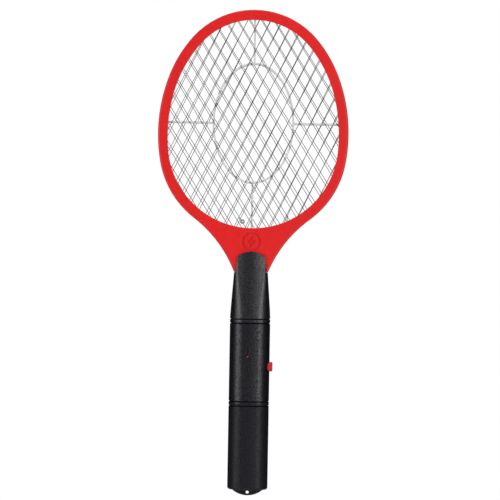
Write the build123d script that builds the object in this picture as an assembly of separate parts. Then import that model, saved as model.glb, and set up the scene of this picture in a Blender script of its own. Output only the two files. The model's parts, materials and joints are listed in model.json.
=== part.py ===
from build123d import *
import math
import os

# Frame: +Z runs up the handle to the head, the front faces -Y and the button
# is on the +X side. The origin is the centre of the hanging hole.

# Head outline, as tangent arcs from the top centre round the right side:
# radius and sweep in degrees, a negative sweep curves the other way.
HEAD_TOP = 440.9
HEAD_ARCS = [(75.0, 49.2), (115.5, 19.8), (148.4, 31.2), (82.6, 43.0), (113.5, -42.0)]
OPENING_TOP = 431.6
OPENING_ARCS = [(65.2, 50.0), (116.6, 26.8), (149.4, 18.5)]
HEAD_DEPTH = 12.0
HEAD_SEAM = 0.3
LIP = 2.0
RIM_WALL = 1.8
OUTER_ROUND = 1.7
INNER_ROUND = 0.5
REAR_SETBACK = 2.4
NECK_TIP = 201.3
STUB_HALF = 12.0
STUB_END = 187.0
NECK_SCREW = (16.0, 229.0)
STUB_SCREWS = [(7.0, 194.0), (-7.0, 194.0)]

# Wire grids: lean from +Z, pitch and offset of the wires that lean right, then left
WIRE_R = 0.27
WIRE_LIFT = 0.22
GRID_Y = 3.3
GRID_REACH = 4.1
HEAD_CENTRE = 337.0
FRONT_MESH = [(26.48, 9.436, -0.74), (-32.34, 9.498, -1.63)]
REAR_MESH = [(25.43, 9.343, -0.17), (-32.8, 9.446, 0.59)]

# Spacer between the grids, and the small metal pieces on the grids
SPACER_HALF = 2.7
SPACER_Z = 337.4
OVAL_HALF = (37.4, 55.3)
BAR = 1.8
EYELET = (-8.55, 247.3)
FRONT_TAB = (-6.0, 241.6)
REAR_CONTACT = (32.4, 253.0)

# Handle
GRIP_W = 36.8
GRIP_D = 28.4
GRIP_R = 13.0
BULGE = 0.11
WALL = 2.2
GRIP_BOTTOM = 3.0
TAPER_START = 160.0
HANDLE_TOP = 201.0
UPPER_SECTIONS = [(160.0, 36.8, 28.4, 13.0), (181.0, 33.9, 24.6, 9.0),
                  (201.0, 30.9, 19.8, 4.5), (222.0, 28.6, 18.8, 4.0)]
SPLIT = 0.1
GROOVE_Z = [158.5, 154.7, 83.4, 79.4]
GROOVE_H = 1.3
GROOVE_DEPTH = 0.9
TONGUE_GAP = 6.15
ARCH_ROUND = 0.4

# Lug
LUG_HALF_CHORD = 15.0
LUG_DROP = 2.7
LUG_DEPTH = 4.4
HANG_HOLE_R = 1.5

# Battery bay
BAY_TOP = 78.6
COVER_Y = 5.0
CELL_R = 7.1
CELL_X = 7.45
CELL_LEN = 49.2
NUB_LEN = 1.4
BAY_PLATE_TOP = 62.5

# Electronics
PCB_Y = 2.6
PCB_T = 1.6
PCB_HALF = 12.4
PCB_Z = (89.0, 151.0)
LED_X = -1.6
LED_Z = 124.6
BUTTON_Y = -3.2
BUTTON_Z = 115.3
BUTTON_R = 4.35
BUTTON_OUT = 2.7


def slab(sketch, y_low, y_high):
    """Extrude an X-Z sketch between two Y planes."""
    return extrude(Plane.XZ.offset(-y_high) * sketch, y_high - y_low)


def block(x0, x1, y0, y1, z0, z1):
    """Box between corner values."""
    centre = Pos((x0 + x1) / 2, (y0 + y1) / 2, (z0 + z1) / 2)
    return centre * Box(x1 - x0, y1 - y0, z1 - z0)


def post(x, z, y_low, y_high, radius):
    """Round post along Y."""
    return slab(Pos(x, z) * Circle(radius), y_low, y_high)


def pin_x(y, z, x_low, x_high, radius):
    """Round pin along X."""
    return Pos((x_low + x_high) / 2, y, z) * Rot(0, 90, 0) * Cylinder(radius, x_high - x_low)


def tube(points, radii, radius):
    """Round wire along straight runs joined by tangent arcs."""
    path = FilletPolyline(*points, radius=radii) if len(points) > 2 else Line(*points)
    return sweep(Plane(origin=path @ 0, z_dir=path % 0) * Circle(radius), path=path)


# ---- head ------------------------------------------------------------------

def arc_chain(top, arcs):
    """Tangent arcs from (0, top), first heading along +X."""
    edges = []
    start = Vector(0, top)
    heading = Vector(1, 0)
    for radius, sweep_angle in arcs:
        arc = JernArc(start=start, tangent=heading, radius=radius, arc_size=-sweep_angle)
        edges.append(arc)
        start = arc @ 1
        heading = arc % 1
    return edges


def closed_outline(top, edges):
    """Face of a half outline and its mirror image."""
    end = edges[-1] @ 1
    sides = list(edges)
    if end.X > 1e-6:
        sides.append(Line(end, (0, end.Y)))
    sides.append(Line((0, end.Y), (0, top)))
    half = make_face(sides)
    return half + mirror(half, Plane.YZ)


def opening_edges():
    """Opening arcs, closed by one that ends on the centre line."""
    edges = arc_chain(OPENING_TOP, OPENING_ARCS)
    end = edges[-1] @ 1
    left = 180 - sum(sweep_angle for radius, sweep_angle in OPENING_ARCS)
    radius = end.X / math.sin(math.radians(left))
    edges.append(JernArc(start=end, tangent=edges[-1] % 1, radius=radius, arc_size=-left))
    return edges


HEAD_EDGES = arc_chain(HEAD_TOP, HEAD_ARCS)
OPENING_EDGES = opening_edges()
OPENING = closed_outline(OPENING_TOP, OPENING_EDGES)


def head_face():
    """Whole red outline with the stub that enters the handle."""
    face = closed_outline(HEAD_TOP, HEAD_EDGES)
    keep = Pos(0, NECK_TIP + 150) * Rectangle(400, 300)
    stub = Pos(0, (STUB_END + NECK_TIP) / 2 + 1) * Rectangle(2 * STUB_HALF, NECK_TIP - STUB_END + 2)
    return (face & keep) + stub


def rim_point(arc_index, along, inset):
    """Point set in from the outer edge of the rim."""
    arc = HEAD_EDGES[arc_index]
    at = arc @ along
    heading = arc % along
    return at.X + heading.Y * inset, at.Y - heading.X * inset


def head_screw_points():
    """Centres of the head screws on both sides."""
    spots = [(0, 0.50), (1, 0.90), (2, 0.75), (3, 0.62)]
    right = [rim_point(arc, along, 2.4) for arc, along in spots] + [NECK_SCREW]
    return right + [(-x, z) for x, z in right]


def head_half(front):
    """One channel-shaped half of the head frame, made as the front one."""
    outer = head_face()
    opening = OPENING if front else offset(OPENING, REAR_SETBACK)
    half = HEAD_DEPTH / 2
    frame = slab(outer - opening, -half, -half + LIP)
    frame += slab(outer - offset(outer, -RIM_WALL, kind=Kind.INTERSECTION), -half, -HEAD_SEAM / 2)
    frame = round_rim(frame)
    for x, z in head_screw_points():
        frame += post(x, z, -half + LIP - 0.5, -HEAD_SEAM / 2, 1.9)
    for x, z in STUB_SCREWS:
        frame += post(x, z, -half + LIP - 0.5, -HEAD_SEAM / 2, 2.6)
        frame -= post(x, z, -half - 1, 0, 1.45)
    frame -= block(-3.8, 3.8, -half + LIP, 1, STUB_END - 1, STUB_END + RIM_WALL + 1)
    if front:
        for x, z in head_screw_points():
            frame -= post(x, z, -half + LIP, 0, 0.9)
        return frame - emblem(-half)
    for x, z in head_screw_points():
        frame -= post(x, z, -half - 1, 0, 1.1)
        frame -= post(x, z, -half - 1, -half + 1.3, 1.75)
    return frame


def round_rim(frame):
    """Round the front edges of a frame half, outside and round the opening."""
    face = frame.faces().sort_by(Axis.Y)[0]
    above_neck = [e for e in face.outer_wire().edges() if e.bounding_box().min.Z > NECK_TIP - 0.05]
    frame = fillet([e for e in above_neck if e.length > 4], OUTER_ROUND)
    face = frame.faces().sort_by(Axis.Y)[0]
    return fillet(face.inner_wires()[0].edges(), INNER_ROUND)


def emblem(face_y):
    """Engraved ring with the outline of a plain lightning bolt."""
    ring = Circle(8.2) - Circle(7.4)
    bolt = Polygon((1.6, 6.0), (-3.8, -0.8), (-0.8, -0.8), (-1.6, -6.0), (3.8, 1.0), (0.8, 1.0), align=None)
    outline = bolt - scale(bolt, 0.62)
    return slab(Pos(0, 229.2) * (ring + outline), face_y - 1, face_y + 0.9)


def head_screws():
    """Self-tapping screws through the rear half of the rim."""
    half = HEAD_DEPTH / 2
    shape = []
    for x, z in head_screw_points():
        shape.append(small_screw(x, z, half - 1.28, half - 0.3, -half + LIP + 0.5, 1.6, 0.85))
    return Compound(children=shape)


def small_screw(x, z, seat, head_top, tip, head_r, shank_r):
    """Pan-head screw along Y with a cross recess, head to the rear."""
    head = post(x, z, seat, head_top, head_r)
    head = chamfer(head.faces().sort_by(Axis.Y)[-1].edges(), min(0.4, (head_top - seat) / 3))
    arm = head_r * 0.62
    slot = block(x - arm, x + arm, head_top - 0.6, head_top + 1, z - 0.25, z + 0.25)
    slot += block(x - 0.25, x + 0.25, head_top - 0.6, head_top + 1, z - arm, z + arm)
    shank = post(x, z, tip + 1, seat, shank_r)
    point = Pos(x, tip + 0.5, z) * Rot(90, 0, 0) * Cone(shank_r, 0.3, 1.0)
    return head - slot + shank + point


# ---- grids and spacer ------------------------------------------------------

def grid_boundary():
    """Points round the opening, moved out to the wire ends."""
    right = []
    for arc in OPENING_EDGES:
        for step in range(24):
            at = arc @ (step / 24)
            heading = arc % (step / 24)
            right.append((at.X - heading.Y * GRID_REACH, at.Y + heading.X * GRID_REACH))
    bottom = OPENING_EDGES[-1] @ 1
    right.append((0.0, bottom.Y - GRID_REACH))
    left = [(-x, z) for x, z in reversed(right)]
    return right + left


BOUNDARY = grid_boundary()


def chord(lean, shift):
    """Ends of the wire that leans by an angle from +Z and passes shift from centre."""
    along = (math.sin(math.radians(lean)), math.cos(math.radians(lean)))
    across = (along[1], -along[0])
    cuts = []
    for (x0, z0), (x1, z1) in zip(BOUNDARY, BOUNDARY[1:] + BOUNDARY[:1]):
        side0 = x0 * across[0] + (z0 - HEAD_CENTRE) * across[1] - shift
        side1 = x1 * across[0] + (z1 - HEAD_CENTRE) * across[1] - shift
        if side0 * side1 < 0:
            part = side0 / (side0 - side1)
            cuts.append((x0 + part * (x1 - x0), z0 + part * (z1 - z0)))
    return cuts


def wire_family(lean, pitch, phase, y):
    """Parallel straight wires of one lean."""
    wires = []
    for number in range(-11, 12):
        cuts = chord(lean, phase + number * pitch)
        if len(cuts) < 2:
            continue
        low, high = sorted(cuts, key=lambda cut: cut[1])[::len(cuts) - 1]
        start = Vector(low[0], y, low[1])
        run = Vector(high[0], y, high[1]) - start
        if run.length > 14:
            wires.append(extrude(Plane(origin=start, z_dir=run) * Circle(WIRE_R), run.length))
    return wires


def grid(y, mesh):
    """Welded diamond mesh: one family of wires lies on the other."""
    right, left = mesh
    rear = wire_family(*right, y + WIRE_LIFT)
    front = wire_family(*left, y - WIRE_LIFT)
    return rear[0].fuse(*rear[1:], *front)


def grid_spacer():
    """Insulating ring in the rim with an oval, four spokes and notches for the contacts."""
    edge = offset(OPENING, GRID_REACH) - offset(OPENING, REAR_SETBACK + 0.3)
    a, b = OVAL_HALF
    oval = Ellipse(a, b) - Ellipse(a - BAR, b - BAR)
    bars = Rectangle(BAR, 240) + Rectangle(240, BAR)
    spokes = (Pos(0, SPACER_Z) * (bars - Ellipse(a - 1, b - 1))) & offset(OPENING, GRID_REACH - 0.5)
    body = slab(edge + (Pos(0, SPACER_Z) * oval) + spokes, -SPACER_HALF, SPACER_HALF)
    x, z = FRONT_TAB
    body -= block(x - 1.6, x + 1.6, -SPACER_HALF - 1, -SPACER_HALF + 1.2, z - 10, z + 0.5)
    x, z = REAR_CONTACT
    return body - block(x - 1.5, x + 1.5, SPACER_HALF - 1.2, SPACER_HALF + 1, z - 12, z - 1)


# ---- handle ----------------------------------------------------------------

def section(width, depth, corner, z, inset=0.0):
    """Rounded handle section at a height."""
    return Pos(0, 0, z) * RectangleRounded(width - 2 * inset, depth - 2 * inset, corner - inset)


def outside_section(width, depth, corner, z, inset=0.0):
    """Handle section with a bulging front and back."""
    half_w = width / 2 - inset
    half_d = depth / 2 - inset
    side = half_d - BULGE * depth
    outline = [ThreePointArc((-half_w, -side), (0, -half_d), (half_w, -side)),
               Line((half_w, -side), (half_w, side)),
               ThreePointArc((half_w, side), (0, half_d), (-half_w, side)),
               Line((-half_w, side), (-half_w, -side))]
    face = make_face(outline)
    return Pos(0, 0, z) * fillet(face.vertices(), corner - inset)


def handle_body(shape, inset, bottom, top_trim):
    """Solid between the handle's lower end and a height, from one kind of section."""
    lower = extrude(shape(GRIP_W, GRIP_D, GRIP_R, bottom, inset), TAPER_START - bottom)
    upper = loft([shape(w, d, r, z, inset) for z, w, d, r in UPPER_SECTIONS])
    body = lower + upper
    return body - block(-30, 30, -30, 30, top_trim, 230)


def tongue_sketch():
    """Arched tongue that laps over the neck."""
    top = HANDLE_TOP + 19.0
    sides = [Line((-14.6, HANDLE_TOP - 4), (-14.15, HANDLE_TOP + 1)),
             Line((-14.15, HANDLE_TOP + 1), (-12.3, top - 4.3)),
             ThreePointArc((-12.3, top - 4.3), (0, top), (12.3, top - 4.3)),
             Line((12.3, top - 4.3), (14.15, HANDLE_TOP + 1)),
             Line((14.15, HANDLE_TOP + 1), (14.6, HANDLE_TOP - 4)),
             Line((14.6, HANDLE_TOP - 4), (-14.6, HANDLE_TOP - 4))]
    return make_face(sides)


def outer_handle():
    """Outside of the closed handle with grooves and both tongues."""
    whole = handle_body(outside_section, 0, GRIP_BOTTOM, 222)
    bottom_edges = whole.faces().sort_by(Axis.Z)[0].edges()
    whole = fillet(bottom_edges, 2.0)
    grip = whole - block(-30, 30, -30, 30, HANDLE_TOP, 230)
    tongue = whole & slab(tongue_sketch(), -12, 12)
    arch = [e for e in tongue.edges() if e.bounding_box().min.Z > HANDLE_TOP + 14.5 and e.length > 8]
    tongue = fillet(arch, ARCH_ROUND)
    tongue -= block(-30, 30, -TONGUE_GAP, TONGUE_GAP, HANDLE_TOP, 230)
    body = grip + tongue
    for z in GROOVE_Z:
        body -= groove(z)
    return body


def groove(z):
    """Ring groove with sloping sides."""
    wide = outside_section(GRIP_W, GRIP_D, GRIP_R, 0, -0.4)
    band = extrude(Pos(0, 0, z - GROOVE_H / 2 - 0.3) * wide, GROOVE_H + 0.6)
    waist = outside_section(GRIP_W, GRIP_D, GRIP_R, 0, GROOVE_DEPTH)
    upper = loft([Pos(0, 0, z) * waist, Pos(0, 0, z + GROOVE_H / 2 + 0.3) * wide])
    lower = loft([Pos(0, 0, z - GROOVE_H / 2 - 0.3) * wide, Pos(0, 0, z) * waist])
    return band - upper - lower


def handle_cavity():
    """Inside of the handle, with the way in for the neck stub."""
    cavity = handle_body(section, WALL, GRIP_BOTTOM + WALL, HANDLE_TOP - WALL)
    clear = 0.2
    return cavity + block(-STUB_HALF - clear, STUB_HALF + clear, -HEAD_DEPTH / 2 - 0.15,
                          HEAD_DEPTH / 2 + 0.15, STUB_END - clear, HANDLE_TOP + 1)


OUTER = outer_handle()
CAVITY = handle_cavity()


def cavity_band(z0, z1, inset=0.0):
    """Straight stretch of the handle's inside section, moved in by inset."""
    return extrude(section(GRIP_W, GRIP_D, GRIP_R, z0, WALL + inset), z1 - z0)


def lug():
    """Flat hanging lug below the handle."""
    base = GRIP_BOTTOM + 0.5
    arch = ThreePointArc((-LUG_HALF_CHORD, base), (0, -LUG_DROP), (LUG_HALF_CHORD, base))
    face = make_face([arch, Line((LUG_HALF_CHORD, base), (-LUG_HALF_CHORD, base))])
    body = slab(face, -LUG_DEPTH / 2, LUG_DEPTH / 2)
    return body - post(0, 0, -5, 5, HANG_HOLE_R)


def cover_rail_zone(extra):
    """Space of the two cover lips and their beads, grown by extra all round."""
    lip = cavity_band(0, BAY_TOP + 1, 0.3 - extra) - cavity_band(0, BAY_TOP + 1, 1.4 + extra)
    bead = cavity_band(0, BAY_TOP + 1, -0.35 - extra) - cavity_band(0, BAY_TOP + 1, 1.4 + extra)
    sides = block(-20, 20, 2.9 - extra, COVER_Y + 1.4, 0, BAY_TOP + 1)
    bead_sides = block(-20, 20, 2.9 - extra, 3.9 + extra, 0, BAY_TOP + 1)
    return (lip & sides) + (bead & bead_sides)


SHELL_SCREWS = [(0.0, 166.0), (0.0, 85.0)]
PCB_POSTS = [(10.0, 92.0), (-10.0, 92.0), (10.0, 148.0), (-10.0, 148.0)]


def bulkhead(y0, y1):
    """Wall between the battery bay and the electronics, with lead notches."""
    wall = cavity_band(80.0, 81.6) & block(-20, 20, y0, y1, 79, 83)
    for x in (-6.0, 6.0):
        wall -= block(x - 1.2, x + 1.2, 4.5, 8.5, 79, 83)
    return wall


def handle_front_shell():
    """Front shell: whole front, the battery bay, the lug and the lower end wall."""
    shell = OUTER - CAVITY
    upper = shell & block(-30, 30, -30, -SPLIT, BAY_TOP + 0.4, 230)
    lower = shell & block(-30, 30, -30, COVER_Y, -5, BAY_TOP + 0.4)
    body = upper + lower + lug()
    body += bulkhead(-20, -SPLIT)
    body += cell_cradles()
    body += contact_wall()
    body -= cover_rail_zone(0.3)
    for x, z in SHELL_SCREWS:
        body += post(x, z, -GRIP_D / 2 + 1.5, -SPLIT, 2.9)
        body -= post(x, z, -GRIP_D / 2 + 3, 0, 1.35)
    for x, z in STUB_SCREWS:
        body += post(x, z, -9.6, -TONGUE_GAP, 3.0)
        body -= post(x, z, -9.0, -5, 1.35)
    for x, z in PCB_POSTS:
        body += post(x, z, -11.2, PCB_Y - 0.05, 1.9)
    body -= post(LED_X, LED_Z, -16, -10, 1.62)
    body += post(LED_X, LED_Z, -12.4, -10.6, 3.0) - post(LED_X, LED_Z, -13, -10, 1.62)
    return body - pin_x(BUTTON_Y, BUTTON_Z, 10, 25, BUTTON_R + 0.08)


def cell_cradles():
    """Ribs that carry the two cells."""
    ribs = None
    for z in (20.0, 36.0, 52.0):
        rib = cavity_band(z, z + 1.6) & block(-20, 20, -20, -2.5, z - 1, z + 3)
        for x in (-CELL_X, CELL_X):
            rib -= Pos(x, 0, z) * Cylinder(CELL_R + 0.2, 10)
        ribs = rib if ribs is None else ribs + rib
    return ribs


def contact_wall():
    """Wall above the cells that holds the upper contact plates."""
    z0 = BAY_PLATE_TOP + 0.1
    wall = cavity_band(z0, z0 + 1.8) & block(-20, 20, -20, COVER_Y - 2.6, z0 - 1, z0 + 3)
    for x in (-CELL_X, CELL_X):
        wall -= block(x - 1.7, x + 1.7, 0.1, 0.9, z0 - 1, z0 + 3)
    return wall


def handle_rear_shell():
    """Rear shell above the battery cover."""
    body = (OUTER - CAVITY) & block(-30, 30, SPLIT, 30, BAY_TOP + 0.4, 230)
    body += bulkhead(SPLIT, 20)
    for x, z in SHELL_SCREWS:
        body += post(x, z, SPLIT, GRIP_D / 2 - 1.5, 2.9)
        body -= post(x, z, 0, 20, 1.6)
        body -= post(x, z, GRIP_D / 2 - 3.6, 20, 2.75)
    for x, z in STUB_SCREWS:
        body += post(x, z, TONGUE_GAP, 9.6, 3.2)
        body -= post(x, z, 5, 20, 1.6)
        body -= post(x, z, 8.2, 20, 2.75)
    for x, z in PCB_POSTS:
        body += post(x, z, PCB_Y + PCB_T + 0.05, 11.2, 1.9)
    return body - pin_x(BUTTON_Y, BUTTON_Z, 10, 25, BUTTON_R + 0.08)


def handle_screws():
    """Screws that clamp the handle shells, two of them through the neck stub."""
    deep = GRIP_D / 2 - 3.5
    shape = [small_screw(x, z, deep, deep + 1.8, -9.0, 2.6, 1.3) for x, z in SHELL_SCREWS]
    shape += [small_screw(x, z, 8.25, 9.8, -8.6, 2.6, 1.3) for x, z in STUB_SCREWS]
    return Compound(children=shape)


def battery_cover():
    """Rear cover of the battery bay with lips, beads and thumb ridges."""
    shell = (OUTER - CAVITY) & block(-30, 30, COVER_Y + 0.3, 30, -5, BAY_TOP)
    lips = cover_rail_zone(0.0) & block(-20, 20, 0, 30, 7.0, BAY_TOP - 1.0)
    bridge = cavity_band(7.0, BAY_TOP - 1.0, -0.4) - cavity_band(7.0, BAY_TOP - 1.0, 1.4)
    bridge &= block(-20, 20, COVER_Y + 0.3, COVER_Y + 1.4, 7.0, BAY_TOP - 1.0)
    body = shell + lips + bridge
    for number in range(5):
        body += Pos(0, GRIP_D / 2, 62 + 2.6 * number) * Box(9.0 - 0.8 * number, 0.9, 1.0)
    return body


# ---- power -----------------------------------------------------------------

def cell(x, bottom, nub_up):
    """AA cell with a raised positive end."""
    can = Pos(x, 0, bottom + CELL_LEN / 2) * Cylinder(CELL_R, CELL_LEN)
    can = fillet(can.edges(), 0.5)
    nub_z = bottom + CELL_LEN + NUB_LEN / 2 if nub_up else bottom - NUB_LEN / 2
    return can + Pos(x, 0, nub_z) * Cylinder(2.7, NUB_LEN)


def spring(x, z_low, z_high):
    """Cell spring."""
    wire = 0.35
    height = z_high - z_low - 2 * wire
    path = Helix(pitch=height / 3, height=height, radius=3.4, center=(x, 0, z_low + wire))
    return sweep(Plane(origin=path @ 0, z_dir=path % 0) * Circle(wire), path=path, is_frenet=True)


def cell_springs():
    """Springs at the negative ends."""
    left = spring(-CELL_X, 6.0, 11.45)
    right = spring(CELL_X, 56.65, 62.0)
    return Compound(children=[left, right])


def contact_plates():
    """Lower bridge and the two upper plates with solder tabs."""
    z_top = BAY_PLATE_TOP
    plates = [block(-12.5, 12.5, -5, 5, 5.5, 5.9)]
    for x in (-CELL_X, CELL_X):
        plate = block(x - 5, x + 5, -5, 2.0, z_top - 0.4, z_top)
        plates.append(plate + block(x - 1.5, x + 1.5, 0.3, 0.7, z_top - 0.1, z_top + 5.0))
    return Compound(children=plates)


# ---- electronics -----------------------------------------------------------

def circuit_board():
    """Board with holes for the LED legs and leads."""
    z0, z1 = PCB_Z
    board = block(-PCB_HALF, PCB_HALF, PCB_Y, PCB_Y + PCB_T, z0, z1)
    board = fillet(board.edges().filter_by(Axis.Y), 1.0)
    for x in (-1.27, 1.27):
        board -= post(LED_X + x, LED_Z, 0, 6, 0.45)
    for x, z in LEAD_HOLES:
        board -= post(x, z, 0, 6, 0.9)
    return board


LEAD_HOLES = [(-6.0, 92.0), (6.0, 92.0), (-5.0, 147.8), (5.0, 147.8)]


def transformer_core():
    """Ferrite core with two windows."""
    core = block(-7.4, 7.4, -5.4, -0.4, 129.0, 143.0)
    for x in (-4.0, 4.0):
        core -= block(x - 1.5, x + 1.5, -8, 2, 131.3, 140.7)
    return core


def transformer_coil():
    """Winding round the core's middle leg."""
    coil = block(-5.4, 5.4, -8.0, 2.5, 131.4, 140.6)
    coil = fillet(coil.edges().filter_by(Axis.Z), 1.6)
    return coil - block(-2.6, 2.6, -5.5, -0.3, 131, 141)


def hv_capacitor():
    """Dipped film capacitor."""
    body = block(-7.3, 7.3, -5.6, 2.5, 94.5, 104.0)
    return fillet(body.edges(), 1.5)


def axial(x, z, radius, length, span):
    """Axial component lying along X with legs bent to the board."""
    y = PCB_Y - radius - 0.2
    body = fillet(pin_x(y, z, x - length / 2, x + length / 2, radius).edges(), 0.3)
    leg = tube([(x - span, PCB_Y + PCB_T + 0.8, z), (x - span, y, z), (x + span, y, z),
                (x + span, PCB_Y + PCB_T + 0.8, z)], 0.8, 0.3)
    return body + leg


def cut_board(board, parts):
    """Clear the board round component legs."""
    for x, z, span in parts:
        for side in (-span, span):
            board -= post(x + side, z, 0, 6, 0.4)
    return board


DIODE_SPOTS = [(-5.0, 107.5), (-5.0, 111.5), (-5.0, 115.5)]
RESISTOR_SPOTS = [(-7.0, 118.5), (-7.0, 121.6), (7.0, 124.0)]


def diodes():
    return Compound(children=[axial(x, z, 1.35, 5.2, 5.0) for x, z in DIODE_SPOTS])


def resistors():
    return Compound(children=[axial(x, z, 1.15, 6.2, 4.6) for x, z in RESISTOR_SPOTS])


def transistor():
    """Small plastic transistor standing off the board."""
    body = post(4.6, 107.6, -4.6, 0.4, 2.3)
    body -= block(0, 10, -6, 2, 109.1, 112)
    for dx in (-1.27, 0.0, 1.27):
        body += post(4.6 + dx, 107.6, 0.3, PCB_Y + PCB_T + 0.8, 0.22)
    return body


def indicator_led():
    """3 mm LED with its legs."""
    lens = post(LED_X, LED_Z, -12.4, -9.8, 1.5)
    dome = (Pos(LED_X, -12.4, LED_Z) * Sphere(1.5)) & block(-5, 5, -15, -12.4, LED_Z - 3, LED_Z + 3)
    flange = post(LED_X, LED_Z, -10.4, -9.4, 1.9)
    body = lens + dome + flange
    for x in (-1.27, 1.27):
        body += post(LED_X + x, LED_Z, -9.6, PCB_Y + PCB_T + 0.8, 0.25)
    return body


def side_switch():
    """Momentary switch body on the board's edge."""
    body = block(6.6, 11.4, BUTTON_Y - 2.6, PCB_Y - 0.05, BUTTON_Z - 3, BUTTON_Z + 3)
    return body - pin_x(BUTTON_Y, BUTTON_Z, 7.4, 12, 1.75)


def switch_plunger():
    """Round plunger the button pushes."""
    return pin_x(BUTTON_Y, BUTTON_Z, 9.4, 13.6, 1.7)


def push_button():
    """Button with a domed cap and a flange that fits the inside of the wall."""
    face = GRIP_W / 2 + BUTTON_OUT
    cap = pin_x(BUTTON_Y, BUTTON_Z, 14.0, face, BUTTON_R)
    cap = fillet(cap.faces().sort_by(Axis.X)[-1].edges(), 1.1)
    flange = pin_x(BUTTON_Y, BUTTON_Z, 13.9, 15.0, BUTTON_R + 1.2)
    return cap + (flange & cavity_band(BUTTON_Z - 10, BUTTON_Z + 10, 0.4))


# ---- leads and grid contacts ------------------------------------------------

def grid_eyelet():
    """Small ring with a tail on the front of the front grid."""
    x, z = EYELET
    tail = Pos(x - 2.2, z + 2.3) * Rot(0, 0, 45) * Rectangle(0.8, 3.0)
    ring = (Pos(x, z) * Circle(2.1)) + tail - (Pos(x, z) * Circle(1.0))
    front_of_grid = -GRID_Y - WIRE_LIFT - WIRE_R - 0.05
    return slab(ring, front_of_grid - 0.4, front_of_grid)


def front_contact():
    """Tab on the back of the front grid, hidden in the neck."""
    x, z = FRONT_TAB
    rear_of_grid = -GRID_Y + WIRE_LIFT + WIRE_R + 0.03
    return slab(Pos(x, z - 4.5) * Rectangle(2.4, 9.0), rear_of_grid, rear_of_grid + 0.5)


def rear_contact():
    """Weld pad on the rear grid with a thin strip that widens in the neck."""
    x, z = REAR_CONTACT
    front_of_grid = GRID_Y - WIRE_LIFT - WIRE_R - 0.03
    strip = Pos(x, z - 3.0) * Rectangle(0.6, 6.0)
    tab = Pos(x, z - 8.5) * Rectangle(1.2, 6.0)
    return slab(strip + tab + (Pos(x, z) * Circle(0.85)), front_of_grid - 0.5, front_of_grid)


def lead(points, bends):
    return tube(points, bends, 0.6)


def battery_lead_positive():
    x = -CELL_X
    return lead([(x, 1.5, 65.0), (x, 1.5, 74.0), (-6.0, 6.4, 77.5), (-6.0, 6.4, 92.0), (-6.0, 3.4, 92.0)],
                [2.0, 2.0, 1.6])


def battery_lead_negative():
    x = CELL_X
    return lead([(x, 1.5, 65.0), (x, 1.5, 74.0), (6.0, 6.4, 77.5), (6.0, 6.4, 92.0), (6.0, 3.4, 92.0)],
                [2.0, 2.0, 1.6])


def hv_lead_front():
    x, z = FRONT_TAB
    return lead([(-5.0, 3.4, 147.8), (-5.0, 6.4, 147.8), (-5.0, 6.4, 176.0), (-1.8, 0.0, 187.0),
                 (-1.8, 0.0, 212.0), (x, -1.35, z - 16.0), (x, -1.35, z - 5.6)],
                [1.6, 5.0, 5.0, 5.0, 5.0])


def hv_lead_rear():
    x, z = REAR_CONTACT
    return lead([(5.0, 3.4, 147.8), (5.0, 6.4, 147.8), (5.0, 6.4, 176.0), (1.8, 0.0, 187.0),
                 (1.8, 0.0, 212.0), (x, 1.35, z - 17.0), (x, 1.35, z - 9.6)],
                [1.6, 5.0, 5.0, 5.0, 4.0])


def main():
    board = circuit_board()
    board = cut_board(board, [(x, z, 5.0) for x, z in DIODE_SPOTS])
    board = cut_board(board, [(x, z, 4.6) for x, z in RESISTOR_SPOTS])
    board = cut_board(board, [(4.6, 107.6, 1.27), (4.6, 107.6, 0.0)])
    parts = {
        "head_front_frame": head_half(True),
        "head_rear_frame": mirror(head_half(False), Plane.XZ),
        "head_screws": head_screws(),
        "front_grid": grid(-GRID_Y, FRONT_MESH),
        "rear_grid": grid(GRID_Y, REAR_MESH),
        "grid_spacer": grid_spacer(),
        "grid_eyelet": grid_eyelet(),
        "front_contact": front_contact(),
        "rear_contact": rear_contact(),
        "handle_front_shell": handle_front_shell(),
        "handle_rear_shell": handle_rear_shell(),
        "handle_screws": handle_screws(),
        "battery_cover": battery_cover(),
        "battery_left": cell(-CELL_X, 11.5, True),
        "battery_right": cell(CELL_X, 7.35, False),
        "cell_springs": cell_springs(),
        "contact_plates": contact_plates(),
        "circuit_board": board,
        "transformer_core": transformer_core(),
        "transformer_coil": transformer_coil(),
        "hv_capacitor": hv_capacitor(),
        "diodes": diodes(),
        "resistors": resistors(),
        "transistor": transistor(),
        "indicator_led": indicator_led(),
        "side_switch": side_switch(),
        "switch_plunger": switch_plunger(),
        "push_button": push_button(),
        "battery_lead_positive": battery_lead_positive(),
        "battery_lead_negative": battery_lead_negative(),
        "hv_lead_front": hv_lead_front(),
        "hv_lead_rear": hv_lead_rear(),
    }
    os.makedirs("parts", exist_ok=True)
    for name, shape in parts.items():
        export_step(shape, f"parts/{name}.step")
        print(name, len(shape.solids()), round(shape.volume, 1))


main()
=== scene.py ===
import json
import math

import bpy
from mathutils import Matrix, Vector

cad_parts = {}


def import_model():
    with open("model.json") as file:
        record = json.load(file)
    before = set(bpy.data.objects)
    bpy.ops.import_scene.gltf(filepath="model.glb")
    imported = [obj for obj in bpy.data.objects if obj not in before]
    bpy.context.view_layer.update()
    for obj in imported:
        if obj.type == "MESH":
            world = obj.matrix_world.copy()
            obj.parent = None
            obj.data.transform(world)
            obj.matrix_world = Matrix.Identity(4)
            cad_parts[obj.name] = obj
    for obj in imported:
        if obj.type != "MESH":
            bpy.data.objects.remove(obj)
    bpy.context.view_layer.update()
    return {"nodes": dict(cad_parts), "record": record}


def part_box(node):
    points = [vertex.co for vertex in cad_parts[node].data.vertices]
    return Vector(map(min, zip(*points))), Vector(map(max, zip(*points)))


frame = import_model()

NODES = frame["nodes"]

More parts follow.
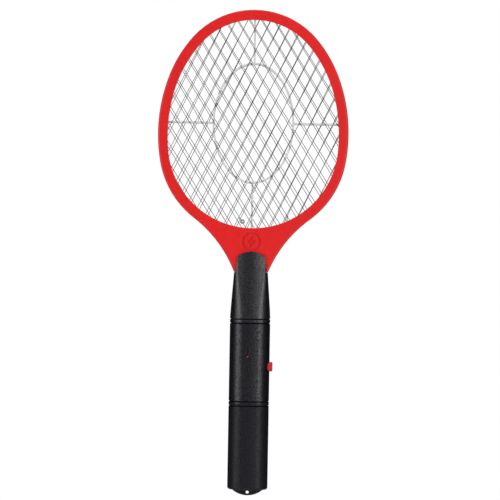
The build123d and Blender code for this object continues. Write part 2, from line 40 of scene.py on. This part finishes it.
# Places, all from the frame
HEAD_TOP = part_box("head_front_frame")[1][2]
LUG_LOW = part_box("handle_front_shell")[0][2]
GROOVES_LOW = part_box("battery_cover")[1][2] + 0.003
GROOVES_HIGH = GROOVES_LOW + 0.075
MIDDLE_Z = (LUG_LOW + HEAD_TOP) / 2 + 0.0024

# Camera
DISTANCE = 2.0
LENS = 157.4
ROLL = 0.98
SIDE_SHIFT = -0.0012

# Stage
FLOOR_RADIUS = 0.9
FLOOR_DROP = 0.25
FRONT_FILL = 0.11
REAR_FILL = 0.03


# ---- node helpers ------------------------------------------------------------

class Shader:
    """Short-hand for building one material's nodes."""

    def __init__(self, name, **inputs):
        self.material = bpy.data.materials.new(name)
        self.material.use_nodes = True
        self.tree = self.material.node_tree
        self.bsdf = self.tree.nodes["Principled BSDF"]
        self.place = self.add("ShaderNodeTexCoord").outputs["Object"]
        for key, value in inputs.items():
            self.bsdf.inputs[key.replace("_", " ")].default_value = value

    def add(self, kind, **settings):
        node = self.tree.nodes.new(kind)
        for key, value in settings.items():
            setattr(node, key, value)
        return node

    def link(self, source, target):
        self.tree.links.new(source, target)

    def noise(self, scale, detail=3.0, roughness=0.55, stretch=None, distortion=0.0):
        """Noise value over object space."""
        node = self.add("ShaderNodeTexNoise")
        node.inputs["Scale"].default_value = scale
        node.inputs["Detail"].default_value = detail
        node.inputs["Roughness"].default_value = roughness
        node.inputs["Distortion"].default_value = distortion
        self.link(self.stretched(stretch), node.inputs["Vector"])
        return node.outputs["Fac"]

    def stretched(self, stretch):
        if stretch is None:
            return self.place
        node = self.add("ShaderNodeMapping")
        node.inputs["Scale"].default_value = stretch
        self.link(self.place, node.inputs["Vector"])
        return node.outputs["Vector"]

    def height(self):
        """Object Z in metres."""
        node = self.add("ShaderNodeSeparateXYZ")
        self.link(self.place, node.inputs["Vector"])
        return node.outputs["Z"]

    def span(self, value, low, high, to_low, to_high):
        """Value mapped from one range to another, clamped."""
        node = self.add("ShaderNodeMapRange")
        limits = {"From Min": low, "From Max": high, "To Min": to_low, "To Max": to_high}
        for key, number in limits.items():
            node.inputs[key].default_value = number
        self.link(value, node.inputs["Value"])
        return node.outputs["Result"]

    def maths(self, operation, first, second):
        node = self.add("ShaderNodeMath", operation=operation)
        for socket, value in zip(node.inputs, (first, second)):
            if isinstance(value, (int, float)):
                socket.default_value = value
            else:
                self.link(value, socket)
        return node.outputs["Value"]

    def ramp(self, value, *stops):
        """Colour ramp from (position, colour) stops."""
        node = self.add("ShaderNodeValToRGB")
        elements = node.color_ramp.elements
        while len(elements) < len(stops):
            elements.new(0.5)
        for element, (position, colour) in zip(elements, stops):
            element.position = position
            element.color = (*colour, 1.0)
        self.link(value, node.inputs["Fac"])
        return node.outputs["Color"]

    def set(self, name, source):
        self.link(source, self.bsdf.inputs[name])

    def bump(self, source, distance, strength=1.0, under=None):
        """Bump from a height value, stacked on an earlier one."""
        node = self.add("ShaderNodeBump")
        node.inputs["Strength"].default_value = strength
        node.inputs["Distance"].default_value = distance
        self.link(source, node.inputs["Height"])
        if under is not None:
            self.link(under, node.inputs["Normal"])
        return node.outputs["Normal"]


def tint(colour, factor):
    return tuple(channel * factor for channel in colour)


# ---- materials ---------------------------------------------------------------

def red_plastic():
    """Glossy moulded red with faint flow marks and handling scuffs."""
    s = Shader("red_plastic_gloss", Roughness=0.34, Specular_IOR_Level=0.36)
    base = (0.70, 0.0105, 0.0105)
    flow = s.noise(38, 4, 0.6, stretch=(1.0, 1.0, 0.35))
    s.set("Base Color", s.ramp(flow, (0.32, tint(base, 0.93)), (0.68, tint(base, 1.05))))
    scuff = s.noise(240, 5, 0.65, stretch=(1.0, 1.0, 3.0))
    s.set("Roughness", s.span(scuff, 0.35, 0.75, 0.30, 0.46))
    peel = s.bump(s.noise(420, 2, 0.5), 0.00006, 0.35)
    s.set("Normal", s.bump(s.noise(2600, 2, 0.6), 0.00003, 0.30, under=peel))
    return s.material


def black_grip():
    """Black handle plastic: grained above the battery bay, smoother and duller below."""
    s = Shader("black_grip_grain", Roughness=0.36)
    upper = s.span(s.height(), GROOVES_LOW - 0.0004, GROOVES_LOW + 0.0004, 0.0, 1.0)
    top = s.span(s.height(), GROOVES_HIGH - 0.0004, GROOVES_HIGH + 0.0004, 0.0, 1.0)
    fine = s.noise(780, 3, 0.62)
    cloud = s.noise(70, 3, 0.6)
    depth = s.span(upper, 0, 1, 0.35, 1.0)
    speckle = s.maths("MULTIPLY", s.maths("SUBTRACT", fine, 0.5), depth)
    drift = s.maths("MULTIPLY", s.maths("SUBTRACT", cloud, 0.5), 0.10)
    mixed = s.maths("ADD", s.maths("ADD", speckle, 0.5), drift)
    s.set("Base Color", s.ramp(mixed, (0.30, (0.0007, 0.0008, 0.0018)), (0.72, (0.0044, 0.0050, 0.0100))))
    shine = s.maths("ADD", s.span(upper, 0, 1, 0.26, 0.42), s.span(top, 0, 1, 0.0, 0.20))
    s.set("Specular IOR Level", s.maths("ADD", shine, s.maths("MULTIPLY", speckle, 1.7)))
    dull = s.span(upper, 0, 1, 0.15, 0.02)
    s.set("Roughness", s.maths("ADD", s.span(s.noise(900, 4, 0.7), 0.3, 0.7, 0.29, 0.37), dull))
    wide = s.bump(s.maths("MULTIPLY", fine, depth), 0.00035, 0.5)
    s.set("Normal", s.bump(s.noise(1900, 3, 0.6), 0.00004, 0.25, under=wide))
    return s.material


def pale_plastic():
    """Milky natural plastic of the grid spacer."""
    s = Shader("pale_spacer", Roughness=0.42, Specular_IOR_Level=0.4)
    s.bsdf.inputs["Transmission Weight"].default_value = 0.35
    s.bsdf.inputs["Subsurface Weight"].default_value = 0.15
    s.bsdf.inputs["Subsurface Radius"].default_value = (0.003, 0.003, 0.003)
    milk = s.noise(90, 4, 0.6)
    s.set("Base Color", s.ramp(milk, (0.3, (0.80, 0.81, 0.80)), (0.7, (0.90, 0.90, 0.89))))
    s.set("Roughness", s.span(s.noise(500, 3, 0.6), 0.3, 0.7, 0.36, 0.52))
    s.set("Normal", s.bump(s.noise(900, 3, 0.5), 0.00005, 0.3))
    return s.material


def metal(name, dark, light, rough, scale=900, stretch=None):
    """Worn metal with a fine finish."""
    s = Shader(name, Metallic=1.0, Roughness=sum(rough) / 2)
    film = s.noise(scale, 4, 0.65, stretch=stretch)
    s.set("Base Color", s.ramp(film, (0.3, dark), (0.7, light)))
    s.set("Roughness", s.span(s.noise(scale * 1.7, 3, 0.6, stretch=stretch), 0.3, 0.7, *rough))
    s.set("Normal", s.bump(s.noise(scale * 3, 3, 0.6, stretch=stretch), 0.00003, 0.35))
    return s.material


def plastic(name, dark, light, rough, grain=1400, depth=0.00004, specular=0.42):
    """Moulded plastic with tone, gloss and grain variation."""
    s = Shader(name, Roughness=sum(rough) / 2, Specular_IOR_Level=specular)
    s.set("Base Color", s.ramp(s.noise(300, 4, 0.6), (0.32, dark), (0.68, light)))
    s.set("Roughness", s.span(s.noise(700, 4, 0.6), 0.3, 0.7, *rough))
    s.set("Normal", s.bump(s.noise(grain, 3, 0.6), depth, 0.4))
    return s.material


def led_lens():
    """Tinted LED resin."""
    s = Shader("led_resin", Roughness=0.12, Specular_IOR_Level=0.6)
    s.bsdf.inputs["Transmission Weight"].default_value = 0.25
    s.bsdf.inputs["Coat Weight"].default_value = 0.6
    s.bsdf.inputs["Coat Roughness"].default_value = 0.06
    tone = s.noise(900, 2, 0.5)
    s.set("Base Color", s.ramp(tone, (0.3, (0.13, 0.007, 0.020)), (0.7, (0.21, 0.012, 0.034))))
    s.set("Roughness", s.span(s.noise(1200, 3, 0.6), 0.3, 0.7, 0.08, 0.18))
    s.set("Normal", s.bump(s.noise(1500, 2, 0.5), 0.00002, 0.25))
    return s.material


def cell_jacket():
    """Plain printed cell sleeve, blue all over with a slight random tone."""
    s = Shader("cell_sleeve", Roughness=0.3, Specular_IOR_Level=0.5)
    s.bsdf.inputs["Coat Weight"].default_value = 0.3
    shade = s.noise(160, 3, 0.6)
    s.set("Base Color", s.ramp(shade, (0.3, (0.015, 0.05, 0.11)), (0.7, (0.025, 0.075, 0.16))))
    s.set("Roughness", s.span(s.noise(600, 4, 0.6), 0.3, 0.7, 0.22, 0.38))
    s.set("Normal", s.bump(s.noise(700, 2, 0.5), 0.00003, 0.3))
    return s.material


def board_laminate():
    """Brown phenolic board with a paper grain."""
    s = Shader("board_laminate", Roughness=0.5)
    grain = s.noise(420, 5, 0.7, stretch=(1.0, 1.0, 4.0))
    s.set("Base Color", s.ramp(grain, (0.3, (0.22, 0.115, 0.035)), (0.7, (0.36, 0.20, 0.07))))
    s.set("Roughness", s.span(grain, 0.3, 0.7, 0.42, 0.6))
    s.set("Normal", s.bump(grain, 0.00004, 0.35))
    return s.material


def winding_wire():
    """Fine lacquered copper turns round Z."""
    s = Shader("winding", Metallic=0.6, Roughness=0.4)
    wave = s.add("ShaderNodeTexWave", wave_type="BANDS", bands_direction="Z")
    wave.inputs["Scale"].default_value = 700
    wave.inputs["Distortion"].default_value = 0.4
    s.link(s.place, wave.inputs["Vector"])
    s.set("Base Color", s.ramp(wave.outputs["Fac"], (0.2, (0.28, 0.10, 0.03)), (0.8, (0.72, 0.34, 0.13))))
    s.set("Roughness", s.span(s.noise(700, 3, 0.6), 0.3, 0.7, 0.3, 0.5))
    s.set("Normal", s.bump(wave.outputs["Fac"], 0.00012, 0.7))
    return s.material


# Plain materials: name, dark tone, light tone and the range of roughness
METALS = {
    "grid_wire": ("grid_steel", (0.06, 0.06, 0.065), (0.13, 0.13, 0.135), (0.30, 0.48)),
    "contact_steel": ("contact_tin", (0.22, 0.22, 0.22), (0.36, 0.36, 0.36), (0.28, 0.46)),
    "screw_steel": ("screw_zinc", (0.42, 0.42, 0.43), (0.62, 0.62, 0.62), (0.24, 0.42)),
    "spring_steel": ("nickel_spring", (0.45, 0.45, 0.44), (0.68, 0.67, 0.65), (0.18, 0.34)),
    "contact_brass": ("contact_brass", (0.55, 0.38, 0.14), (0.78, 0.58, 0.26), (0.25, 0.42)),
}
PLASTICS = {
    "button_plastic": ("button_red", (0.47, 0.010, 0.012), (0.60, 0.016, 0.018), (0.30, 0.44)),
    "ferrite": ("ferrite", (0.020, 0.020, 0.021), (0.045, 0.045, 0.047), (0.5, 0.7), 1900, 0.00008),
    "cap_coat": ("capacitor_dip", (0.26, 0.030, 0.010), (0.38, 0.050, 0.016), (0.22, 0.36)),
    "diode_body": ("diode_black", (0.010, 0.010, 0.010), (0.020, 0.020, 0.020), (0.3, 0.45)),
    "resistor_body": ("resistor_tan", (0.50, 0.36, 0.20), (0.66, 0.50, 0.31), (0.3, 0.5)),
    "transistor_body": ("transistor_black", (0.010, 0.010, 0.010), (0.022, 0.022, 0.022), (0.4, 0.6)),
    "switch_body": ("switch_black", (0.015, 0.015, 0.015), (0.030, 0.030, 0.030), (0.4, 0.6)),
    "plunger_plastic": ("plunger_ivory", (0.62, 0.60, 0.54), (0.76, 0.74, 0.68), (0.35, 0.5)),
    "red_sleeve": ("lead_red", (0.42, 0.012, 0.012), (0.58, 0.020, 0.018), (0.4, 0.55)),
    "black_sleeve": ("lead_black", (0.010, 0.010, 0.010), (0.024, 0.024, 0.024), (0.4, 0.55)),
    "white_sleeve": ("lead_white", (0.66, 0.66, 0.64), (0.80, 0.80, 0.78), (0.4, 0.55)),
}
SPECIAL = {
    "red_plastic": red_plastic,
    "black_plastic": black_grip,
    "pale_plastic": pale_plastic,
    "led_lens": led_lens,
    "cell_jacket": cell_jacket,
    "board": board_laminate,
    "winding": winding_wire,
}


def material_for(slot):
    """Material of one slot of the record."""
    if slot in METALS:
        return metal(*METALS[slot])
    if slot in PLASTICS:
        return plastic(*PLASTICS[slot])
    return SPECIAL[slot]()


def paint_nodes():
    """Each node takes the material of its slot in the record."""
    made = {}
    for part in frame["record"]["subparts"]:
        slot = part["material_slot"]
        if slot not in made:
            made[slot] = material_for(slot)
        mesh = NODES[part["node"]].data
        mesh.materials.clear()
        mesh.materials.append(made[slot])


# ---- stage, lights and camera ------------------------------------------------

def floor():
    """Pale round floor some way below the handle."""
    mesh = bpy.data.meshes.new("floor")
    steps = 96
    turns = [math.tau * number / steps for number in range(steps)]
    rim = [(FLOOR_RADIUS * math.cos(turn), FLOOR_RADIUS * math.sin(turn), 0) for turn in turns]
    mesh.from_pydata(rim, [], [tuple(range(steps))])
    disc = bpy.data.objects.new("floor", mesh)
    disc.location.z = LUG_LOW - FLOOR_DROP
    bpy.context.scene.collection.objects.link(disc)
    s = Shader("floor_pale", Roughness=0.9, Specular_IOR_Level=0.1)
    s.bsdf.inputs["Base Color"].default_value = (0.93, 0.93, 0.93, 1.0)
    mesh.materials.append(s.material)


def softbox(name, azimuth, elevation, reach, size, watts):
    """Rectangular area light round the racket's middle; azimuth 0 is the camera side, + is +X."""
    turn, lift = math.radians(azimuth), math.radians(elevation)
    out = Vector((math.sin(turn) * math.cos(lift), -math.cos(turn) * math.cos(lift), math.sin(lift)))
    light = bpy.data.lights.new(name, "AREA")
    light.shape = "RECTANGLE"
    light.size, light.size_y = size
    light.energy = watts
    lamp = bpy.data.objects.new(name, light)
    lamp.location = Vector((0.0, 0.0, MIDDLE_Z)) + out * reach
    lamp.rotation_euler = (-out).to_track_quat("-Z", "Y").to_euler()
    bpy.context.scene.collection.objects.link(lamp)


def lights():
    """Broad softboxes at the front corners, one overhead and one high up behind."""
    softbox("key_right", 35, 4, 1.6, (0.85, 1.4), 14.5)
    softbox("key_left", -47, 4, 1.6, (1.0, 1.4), 14.5)
    softbox("top", 0, 68, 1.5, (1.2, 0.7), 6)
    softbox("rear", 180, 50, 1.7, (1.4, 0.9), 14)


def world():
    """White to the camera; dim light on the object, dimmer behind it than in front."""
    scene = bpy.context.scene
    scene.world = bpy.data.worlds.new("studio")
    scene.world.use_nodes = True
    tree = scene.world.node_tree
    tree.nodes.clear()
    add, link = tree.nodes.new, tree.links.new
    place = add("ShaderNodeTexCoord")
    axes = add("ShaderNodeSeparateXYZ")
    link(place.outputs["Generated"], axes.inputs["Vector"])
    dim = add("ShaderNodeMapRange")
    fall = {"From Min": -0.5, "From Max": 0.2, "To Min": FRONT_FILL, "To Max": REAR_FILL}
    for key, number in fall.items():
        dim.inputs[key].default_value = number
    link(axes.outputs["Y"], dim.inputs["Value"])
    around, seen = add("ShaderNodeBackground"), add("ShaderNodeBackground")
    for background in (around, seen):
        background.inputs["Color"].default_value = (1.0, 1.0, 1.0, 1.0)
    link(dim.outputs["Result"], around.inputs["Strength"])
    mix = add("ShaderNodeMixShader")
    link(add("ShaderNodeLightPath").outputs["Is Camera Ray"], mix.inputs["Fac"])
    link(around.outputs["Background"], mix.inputs[1])
    link(seen.outputs["Background"], mix.inputs[2])
    link(mix.outputs["Shader"], add("ShaderNodeOutputWorld").inputs["Surface"])


def camera():
    """Straight-on camera level with the racket's middle, rolled as the racket leans."""
    data = bpy.data.cameras.new("camera")
    data.lens = LENS
    data.sensor_width = 36.0
    lens = bpy.data.objects.new("camera", data)
    upright = Matrix.Rotation(math.radians(90), 4, "X")
    roll = Matrix.Rotation(math.radians(ROLL), 4, "Z")
    lens.matrix_world = Matrix.Translation((SIDE_SHIFT, -DISTANCE, MIDDLE_Z)) @ upright @ roll
    bpy.context.scene.collection.objects.link(lens)
    bpy.context.scene.camera = lens


def main():
    paint_nodes()
    floor()
    lights()
    world()
    camera()
    bpy.context.scene.view_settings.view_transform = "Standard"


main()
